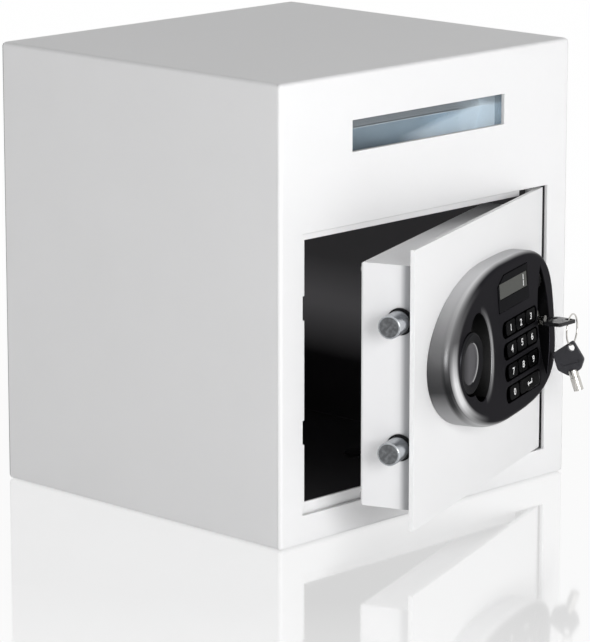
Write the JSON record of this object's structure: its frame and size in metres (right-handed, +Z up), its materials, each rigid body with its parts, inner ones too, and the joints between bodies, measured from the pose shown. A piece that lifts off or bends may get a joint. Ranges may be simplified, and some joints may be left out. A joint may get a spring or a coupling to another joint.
{
  "type": "drop safe",
  "caption": "Steel drop safe with a deposit slot and chute over an ajar door with electronic keypad lock, knob, round bolts, override key and spare key.",
  "frame": {"origin": "under the middle of the cabinet, on the floor", "axes": "+X to the right seen from the front, +Y to the back, +Z up; the front faces -Y"},
  "size_m": [0.37, 0.4599, 0.4],
  "materials": {
    "white_paint": "smooth satin powder coat",
    "zinc": "bright zinc plated sheet",
    "steel": "plain turned steel",
    "polished_steel": "polished with turned ends",
    "charcoal": "satin metallic charcoal",
    "black_plastic": "fine matt",
    "gloss_black": "polished black",
    "display_glass": "clear window over a grey display",
    "nickel": "bright nickel",
    "board": "circuit board",
    "cell_wrap": "plain cell wrap"
  },
  "bodies": {
    "cabinet": {"front_plate": "white_paint", "back_plate": "white_paint", "body_wrap": "white_paint", "anchor_plug_left": "black_plastic", "anchor_plug_right": "black_plastic", "lower_jamb": "white_paint", "upper_jamb": "white_paint", "lower_hinge_pin": "steel", "upper_hinge_pin": "steel", "chute_hood": "zinc", "chute_ramp": "zinc", "chute_cheek_left": "zinc", "chute_cheek_right": "zinc"},
    "door": {"display_bezel": "gloss_black", "display_window": "display_glass", "keypad_board": "board", "door_plate": "white_paint", "door_pan": "white_paint", "pan_cover": "white_paint", "cover_screw_1": "steel", "cover_screw_2": "steel", "cover_screw_3": "steel", "cover_screw_4": "steel", "battery_box": "black_plastic", "battery_cell_1": "cell_wrap", "battery_cell_2": "cell_wrap", "battery_cell_3": "cell_wrap", "battery_cell_4": "cell_wrap", "lower_hinge_lug": "white_paint", "upper_hinge_lug": "white_paint", "lower_bolt_bush": "black_plastic", "upper_bolt_bush": "black_plastic", "carriage_guide": "steel", "solenoid_body": "zinc", "lock_panel": "charcoal", "lock_body": "nickel"},
    "bolt_set": {"bolt_carriage": "zinc", "upper_bolt": "polished_steel", "lower_bolt": "polished_steel"},
    "knob_set": {"knob": "charcoal", "knob_spindle": "steel"},
    "lock_set": {"lock_plug": "nickel", "override_key": "black_plastic", "lock_cam": "steel"},
    "ring_body": {"key_ring": "nickel"},
    "spare_body": {"spare_key": "black_plastic"},
    "plunger_body": {"solenoid_plunger": "steel"},
    "lid_body": {"battery_lid": "black_plastic"},
    "key_1_body": {"key_1": "black_plastic"},
    "key_2_body": {"key_2": "black_plastic"},
    "key_3_body": {"key_3": "black_plastic"},
    "key_4_body": {"key_4": "black_plastic"},
    "key_5_body": {"key_5": "black_plastic"},
    "key_6_body": {"key_6": "black_plastic"},
    "key_7_body": {"key_7": "black_plastic"},
    "key_8_body": {"key_8": "black_plastic"},
    "key_9_body": {"key_9": "black_plastic"},
    "key_0_body": {"key_0": "black_plastic"},
    "key_enter_body": {"key_enter": "black_plastic"}
  },
  "joints": [
    {"name": "door_hinge", "type": "hinge", "parent": "cabinet", "child": "door", "pos_m": [0.145, -0.165, 0], "axis": [0, 0, 1], "range_deg": [-20.5, 81.5]},
    {"name": "knob_turn", "type": "hinge", "parent": "door", "child": "knob_set", "pos_m": [-0.06108, -0.25059, 0.157], "axis": [-0.3502, 0.9367, 0], "range_deg": [0, 90]},
    {"name": "bolt_slide", "type": "slide", "parent": "door", "child": "bolt_set", "axis": [0.9367, 0.3502, 0], "range_m": [0, 0.018]},
    {"name": "key_1_press", "type": "slide", "parent": "door", "child": "key_1_body", "axis": [-0.3491, 0.9338, -0.0785], "range_m": [0, 0.001], "stiffness_N_per_m": 300},
    {"name": "key_2_press", "type": "slide", "parent": "door", "child": "key_2_body", "axis": [-0.3491, 0.9338, -0.0785], "range_m": [0, 0.001], "stiffness_N_per_m": 300},
    {"name": "key_3_press", "type": "slide", "parent": "door", "child": "key_3_body", "axis": [-0.3491, 0.9338, -0.0785], "range_m": [0, 0.001], "stiffness_N_per_m": 300},
    {"name": "key_4_press", "type": "slide", "parent": "door", "child": "key_4_body", "axis": [-0.3491, 0.9338, -0.0785], "range_m": [0, 0.001], "stiffness_N_per_m": 300},
    {"name": "key_5_press", "type": "slide", "parent": "door", "child": "key_5_body", "axis": [-0.3491, 0.9338, -0.0785], "range_m": [0, 0.001], "stiffness_N_per_m": 300},
    {"name": "key_6_press", "type": "slide", "parent": "door", "child": "key_6_body", "axis": [-0.3491, 0.9338, -0.0785], "range_m": [0, 0.001], "stiffness_N_per_m": 300},
    {"name": "key_7_press", "type": "slide", "parent": "door", "child": "key_7_body", "axis": [-0.3491, 0.9338, -0.0785], "range_m": [0, 0.001], "stiffness_N_per_m": 300},
    {"name": "key_8_press", "type": "slide", "parent": "door", "child": "key_8_body", "axis": [-0.3491, 0.9338, -0.0785], "range_m": [0, 0.001], "stiffness_N_per_m": 300},
    {"name": "key_9_press", "type": "slide", "parent": "door", "child": "key_9_body", "axis": [-0.3491, 0.9338, -0.0785], "range_m": [0, 0.001], "stiffness_N_per_m": 300},
    {"name": "key_0_press", "type": "slide", "parent": "door", "child": "key_0_body", "axis": [-0.3491, 0.9338, -0.0785], "range_m": [0, 0.001], "stiffness_N_per_m": 300},
    {"name": "key_enter_press", "type": "slide", "parent": "door", "child": "key_enter_body", "axis": [-0.3491, 0.9338, -0.0785], "range_m": [0, 0.001], "stiffness_N_per_m": 300},
    {"name": "lock_turn", "type": "hinge", "parent": "door", "child": "lock_set", "pos_m": [0.10659, -0.1879, 0.158], "axis": [-0.3502, 0.9367, 0], "range_deg": [0, 90]},
    {"name": "key_ring_swing", "type": "hinge", "parent": "lock_set", "child": "ring_body", "pos_m": [0.12662, -0.22579, 0.158], "axis": [-0.9367, -0.3502, 0], "range_deg": [0, 20]},
    {"name": "spare_key_swing", "type": "hinge", "parent": "ring_body", "child": "spare_body", "pos_m": [0.13576, -0.22237, 0.13448], "axis": [-0.9367, -0.3502, 0], "range_deg": [0, 30]},
    {"name": "plunger_slide", "type": "slide", "parent": "door", "child": "plunger_body", "axis": [0, 0, 1], "range_m": [-0.008, 0]},
    {"name": "battery_lid_hinge", "type": "hinge", "parent": "door", "child": "lid_body", "pos_m": [0.02205, -0.16453, 0.0633], "axis": [-0.9367, -0.3502, 0], "range_deg": [0, 100]}
  ],
  "couplings": [
    {"joint": "knob_turn", "follows": "bolt_slide", "rad_per_m": 87.266}
  ]
}
